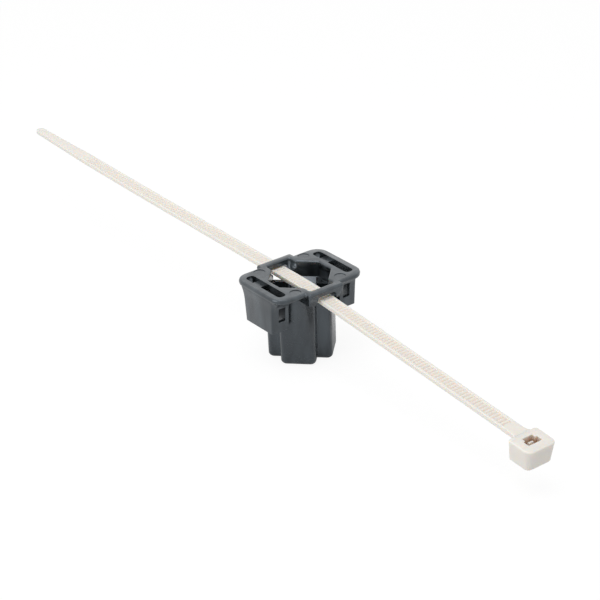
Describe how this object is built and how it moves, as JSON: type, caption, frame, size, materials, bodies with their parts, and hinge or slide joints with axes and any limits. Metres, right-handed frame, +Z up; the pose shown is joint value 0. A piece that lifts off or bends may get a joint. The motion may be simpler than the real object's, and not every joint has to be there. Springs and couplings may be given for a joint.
{
  "type": "stud mount cable tie",
  "caption": "Natural nylon cable tie threaded under the bars of a black push-on mount that grips a weld stud, for strapping a cable bundle to a panel.",
  "frame": {"origin": "on the axis of the weld stud, in the plane of the mount's foot", "axes": "+Z up along the stud, out of the panel; +Y along the tie, towards its tail; +X across the tie, from ear to ear"},
  "size_m": [0.0316, 0.2536, 0.0254],
  "materials": {
    "black_nylon": "moulded black nylon, satin",
    "natural_nylon": "moulded natural nylon, satin, slightly translucent"
  },
  "bodies": {
    "root": {"stud_mount": "black_nylon", "cable_tie": "natural_nylon"}
  },
  "joints": []
}
